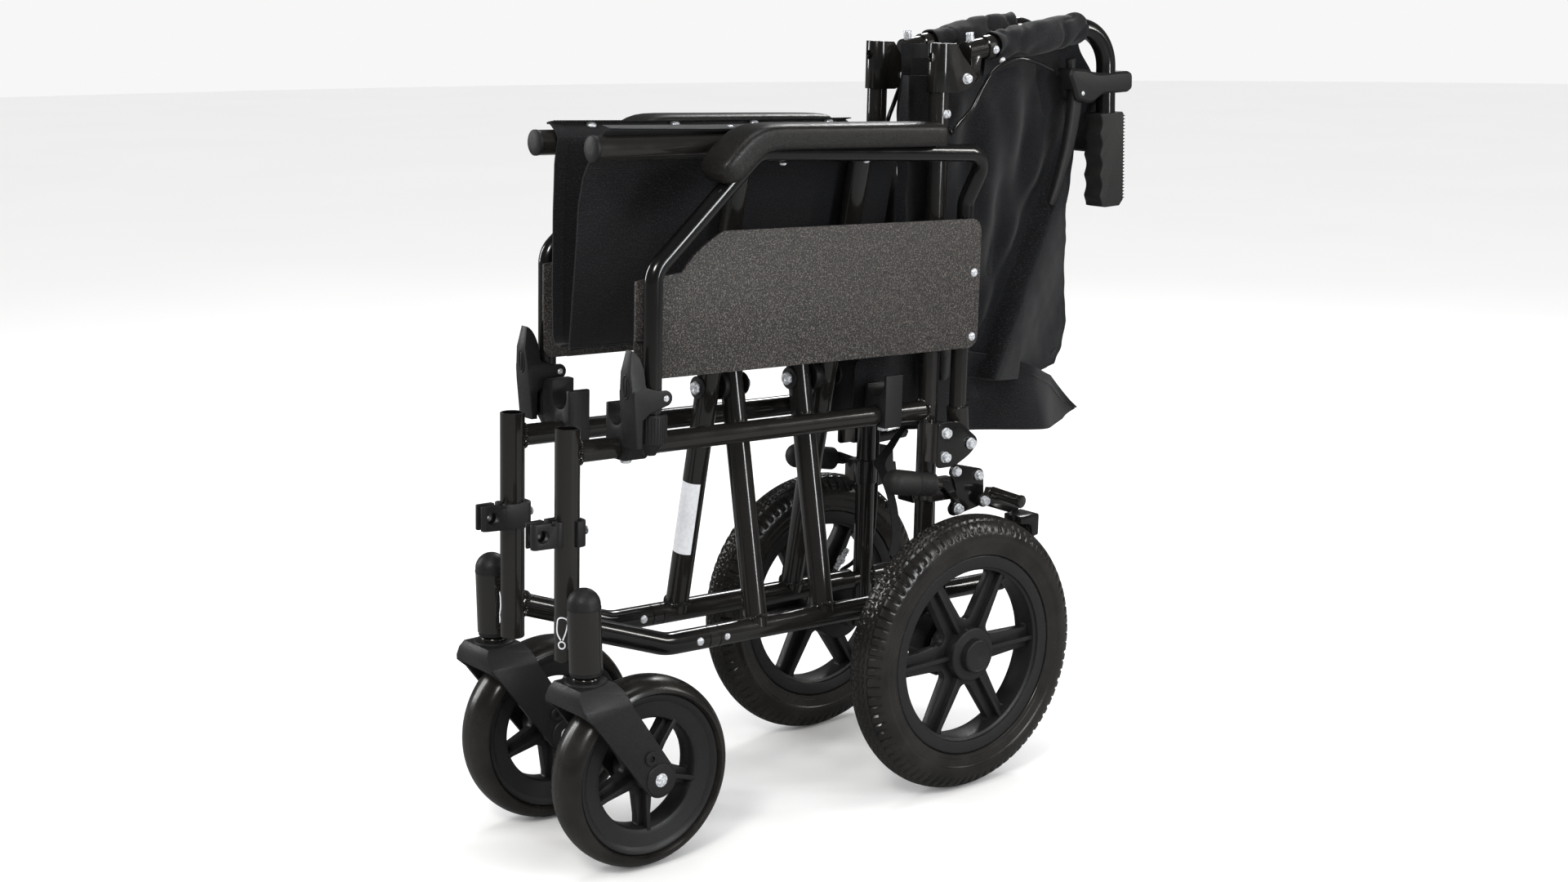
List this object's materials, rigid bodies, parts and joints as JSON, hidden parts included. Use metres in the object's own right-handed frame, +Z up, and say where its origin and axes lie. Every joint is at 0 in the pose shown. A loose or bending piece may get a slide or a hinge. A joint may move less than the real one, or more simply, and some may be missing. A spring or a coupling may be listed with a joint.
{
  "type": "transport wheelchair",
  "caption": "Attendant-propelled folding transport wheelchair in black, folded flat with its back folded down and footrests off; cross-brace frame, flip-back arms, solid tyres",
  "frame": {"origin": "middle of the folded chair's bounding box, on the floor plane", "axes": "+Z up, -Y the front of the chair, +X the chair's left side"},
  "size_m": [0.317, 0.83, 0.8459],
  "materials": {
    "black_paint": "gloss black powder coat on steel tube",
    "textured_plastic": "dark grey grained moulded plastic with fine specks",
    "smooth_plastic": "satin black moulded plastic",
    "pad": "leather-grained black self-skinned foam",
    "grip": "matte black rubber",
    "tyre": "black solid tyre with a satin sidewall",
    "cloth": "black woven nylon with a faint sparkle",
    "zinc": "bright zinc-plated steel"
  },
  "bodies": {
    "frame_left": {"side_frame_left": "black_paint", "footrest_clip_left": "textured_plastic", "front_saddle_left": "textured_plastic", "rear_saddle_left": "textured_plastic", "arm_pivot_bracket_left": "black_paint", "wheel_lock_plate_left": "black_paint", "back_hinge_bracket_left": "black_paint", "brake_cable_left": "grip", "rear_axle_left": "black_paint"},
    "brace_left": {"cross_brace_left": "black_paint", "cross_bolt_front": "zinc", "cross_bolt_rear": "zinc"},
    "sling_left": {"seat_sling_left": "cloth"},
    "back_left": {"back_cloth_left": "cloth"},
    "handle_left": {"push_handle_left": "black_paint", "hand_grip_left": "grip", "attendant_brake_body_left": "smooth_plastic", "back_sleeve_left": "cloth"},
    "button_left": {"release_button_left": "zinc"},
    "brake_lever_left": {"attendant_brake_lever_left": "smooth_plastic"},
    "arm_left": {"arm_tube_left": "black_paint", "arm_pad_left": "pad", "side_panel_left": "textured_plastic"},
    "latch_left": {"arm_latch_left": "textured_plastic"},
    "lock_lever_left": {"wheel_lock_lever_left": "grip"},
    "lock_shoe_left": {"wheel_lock_shoe_left": "black_paint"},
    "fork_left": {"caster_fork_left": "textured_plastic"},
    "caster_left": {"caster_rim_left": "smooth_plastic", "caster_tyre_left": "tyre"},
    "wheel_left": {"rear_rim_left": "smooth_plastic", "rear_tyre_left": "tyre"},
    "frame_right": {"side_frame_right": "black_paint", "footrest_clip_right": "textured_plastic", "front_saddle_right": "textured_plastic", "rear_saddle_right": "textured_plastic", "arm_pivot_bracket_right": "black_paint", "wheel_lock_plate_right": "black_paint", "back_hinge_bracket_right": "black_paint", "brake_cable_right": "grip", "rear_axle_right": "black_paint"},
    "brace_right": {"cross_brace_right": "black_paint"},
    "sling_right": {"seat_sling_right": "cloth"},
    "back_right": {"back_cloth_right": "cloth"},
    "handle_right": {"push_handle_right": "black_paint", "hand_grip_right": "grip", "attendant_brake_body_right": "smooth_plastic", "back_sleeve_right": "cloth"},
    "button_right": {"release_button_right": "zinc"},
    "brake_lever_right": {"attendant_brake_lever_right": "smooth_plastic"},
    "arm_right": {"arm_tube_right": "black_paint", "arm_pad_right": "pad", "side_panel_right": "textured_plastic"},
    "latch_right": {"arm_latch_right": "textured_plastic"},
    "lock_lever_right": {"wheel_lock_lever_right": "grip"},
    "lock_shoe_right": {"wheel_lock_shoe_right": "black_paint"},
    "fork_right": {"caster_fork_right": "textured_plastic"},
    "caster_right": {"caster_rim_right": "smooth_plastic", "caster_tyre_right": "tyre"},
    "wheel_right": {"rear_rim_right": "smooth_plastic", "rear_tyre_right": "tyre"}
  },
  "joints": [
    {"name": "fold", "type": "hinge", "parent": "frame_left", "child": "brace_left", "pos_m": [0.0515, -0.12764, 0.20733], "axis": [0, -0.9992, 0.0401], "range_deg": [0, 49.9]},
    {"name": "fold_cross", "type": "hinge", "parent": "brace_left", "child": "brace_right", "pos_m": [0, -0.11739, 0.46263], "axis": [0, -0.9992, 0.0401], "range_deg": [-99.8, 0]},
    {"name": "fold_far_side", "type": "hinge", "parent": "brace_right", "child": "frame_right", "pos_m": [-0.0515, -0.12764, 0.20733], "axis": [0, -0.9992, 0.0401], "range_deg": [0, 49.9]},
    {"name": "sling_spread_left", "type": "hinge", "parent": "brace_right", "child": "sling_left", "pos_m": [0.0515, -0.10713, 0.71792], "axis": [0, -0.9992, 0.0401], "range_deg": [-19.96, 0]},
    {"name": "sling_spread_right", "type": "hinge", "parent": "brace_left", "child": "sling_right", "pos_m": [-0.0515, -0.10713, 0.71792], "axis": [0, -0.9992, 0.0401], "range_deg": [0, 19.96]},
    {"name": "back_cloth_spread_left", "type": "hinge", "parent": "frame_left", "child": "back_left", "pos_m": [0.0515, 0.11653, 0.59034], "axis": [0, 0.0401, 0.9992], "range_deg": [0, 74.85]},
    {"name": "back_fold_left", "type": "hinge", "parent": "frame_left", "child": "handle_left", "pos_m": [0.0515, 0.15107, 0.77511], "axis": [1, 0, 0], "range_deg": [0, 81]},
    {"name": "back_button_left", "type": "slide", "parent": "handle_left", "child": "button_left", "axis": [0, 0.1167, -0.9932], "range_m": [0, 0.005], "stiffness_N_per_m": 300, "springref_m": -0.002},
    {"name": "brake_squeeze_left", "type": "hinge", "parent": "handle_left", "child": "brake_lever_left", "pos_m": [0.0515, 0.33201, 0.7504], "axis": [1, 0, 0], "range_deg": [0, 18], "stiffness_Nm_per_rad": 0.6, "springref_deg": -8.59},
    {"name": "arm_flip_left", "type": "hinge", "parent": "frame_left", "child": "arm_left", "pos_m": [0.07, 0.14131, 0.37517], "axis": [-1, 0, 0], "range_deg": [0, 100]},
    {"name": "arm_latch_left", "type": "hinge", "parent": "arm_left", "child": "latch_left", "pos_m": [0.096, -0.28765, 0.48448], "axis": [-1, 0, 0], "range_deg": [0, 8]},
    {"name": "wheel_lock_left", "type": "hinge", "parent": "frame_left", "child": "lock_lever_left", "pos_m": [0.08, 0.12635, 0.30172], "axis": [1, 0, 0], "range_deg": [0, 30]},
    {"name": "lock_shoe_left", "type": "hinge", "parent": "frame_left", "child": "lock_shoe_left", "pos_m": [0.086, 0.16216, 0.30628], "axis": [1, 0, 0], "range_deg": [-9, 0]},
    {"name": "caster_swivel_left", "type": "hinge", "parent": "frame_left", "child": "fork_left", "pos_m": [0.0874, -0.37447, 0.215], "axis": [0, 0, -1], "range_deg": [-20, 200]},
    {"name": "caster_roll_left", "type": "hinge", "parent": "fork_left", "child": "caster_left", "pos_m": [0.0874, -0.31247, 0.1], "axis": [1, 0, 0], "continuous": true},
    {"name": "rear_roll_left", "type": "hinge", "parent": "frame_left", "child": "wheel_left", "pos_m": [0.1305, 0.09133, 0.1544], "axis": [1, 0, 0], "continuous": true},
    {"name": "back_cloth_spread_right", "type": "hinge", "parent": "frame_right", "child": "back_right", "pos_m": [-0.0515, 0.11653, 0.59034], "axis": [0, 0.0401, 0.9992], "range_deg": [-74.85, 0]},
    {"name": "back_fold_right", "type": "hinge", "parent": "frame_right", "child": "handle_right", "pos_m": [-0.0515, 0.15107, 0.77511], "axis": [1, 0, 0], "range_deg": [0, 81]},
    {"name": "back_button_right", "type": "slide", "parent": "handle_right", "child": "button_right", "axis": [0, 0.1167, -0.9932], "range_m": [0, 0.005], "stiffness_N_per_m": 300, "springref_m": -0.002},
    {"name": "brake_squeeze_right", "type": "hinge", "parent": "handle_right", "child": "brake_lever_right", "pos_m": [-0.0515, 0.33201, 0.7504], "axis": [1, 0, 0], "range_deg": [0, 18], "stiffness_Nm_per_rad": 0.6, "springref_deg": -8.59},
    {"name": "arm_flip_right", "type": "hinge", "parent": "frame_right", "child": "arm_right", "pos_m": [-0.07, 0.14131, 0.37517], "axis": [-1, 0, 0], "range_deg": [0, 100]},
    {"name": "arm_latch_right", "type": "hinge", "parent": "arm_right", "child": "latch_right", "pos_m": [-0.096, -0.28765, 0.48448], "axis": [-1, 0, 0], "range_deg": [0, 8]},
    {"name": "wheel_lock_right", "type": "hinge", "parent": "frame_right", "child": "lock_lever_right", "pos_m": [-0.08, 0.12635, 0.30172], "axis": [1, 0, 0], "range_deg": [0, 30]},
    {"name": "lock_shoe_right", "type": "hinge", "parent": "frame_right", "child": "lock_shoe_right", "pos_m": [-0.086, 0.16216, 0.30628], "axis": [1, 0, 0], "range_deg": [-9, 0]},
    {"name": "caster_swivel_right", "type": "hinge", "parent": "frame_right", "child": "fork_right", "pos_m": [-0.0874, -0.37447, 0.215], "axis": [0, 0, 1], "range_deg": [-20, 200]},
    {"name": "caster_roll_right", "type": "hinge", "parent": "fork_right", "child": "caster_right", "pos_m": [-0.0874, -0.31247, 0.1], "axis": [1, 0, 0], "continuous": true},
    {"name": "rear_roll_right", "type": "hinge", "parent": "frame_right", "child": "wheel_right", "pos_m": [-0.1305, 0.09133, 0.1544], "axis": [1, 0, 0], "continuous": true}
  ],
  "couplings": [
    {"joint": "fold_cross", "follows": "fold", "ratio": -2},
    {"joint": "fold_far_side", "follows": "fold", "ratio": 1},
    {"joint": "sling_spread_left", "follows": "fold", "ratio": -0.4},
    {"joint": "sling_spread_right", "follows": "fold", "ratio": 0.4},
    {"joint": "back_cloth_spread_left", "follows": "fold", "ratio": 1.5},
    {"joint": "lock_shoe_left", "follows": "wheel_lock_left", "ratio": -0.3},
    {"joint": "back_cloth_spread_right", "follows": "fold", "ratio": -1.5},
    {"joint": "lock_shoe_right", "follows": "wheel_lock_right", "ratio": -0.3}
  ]
}
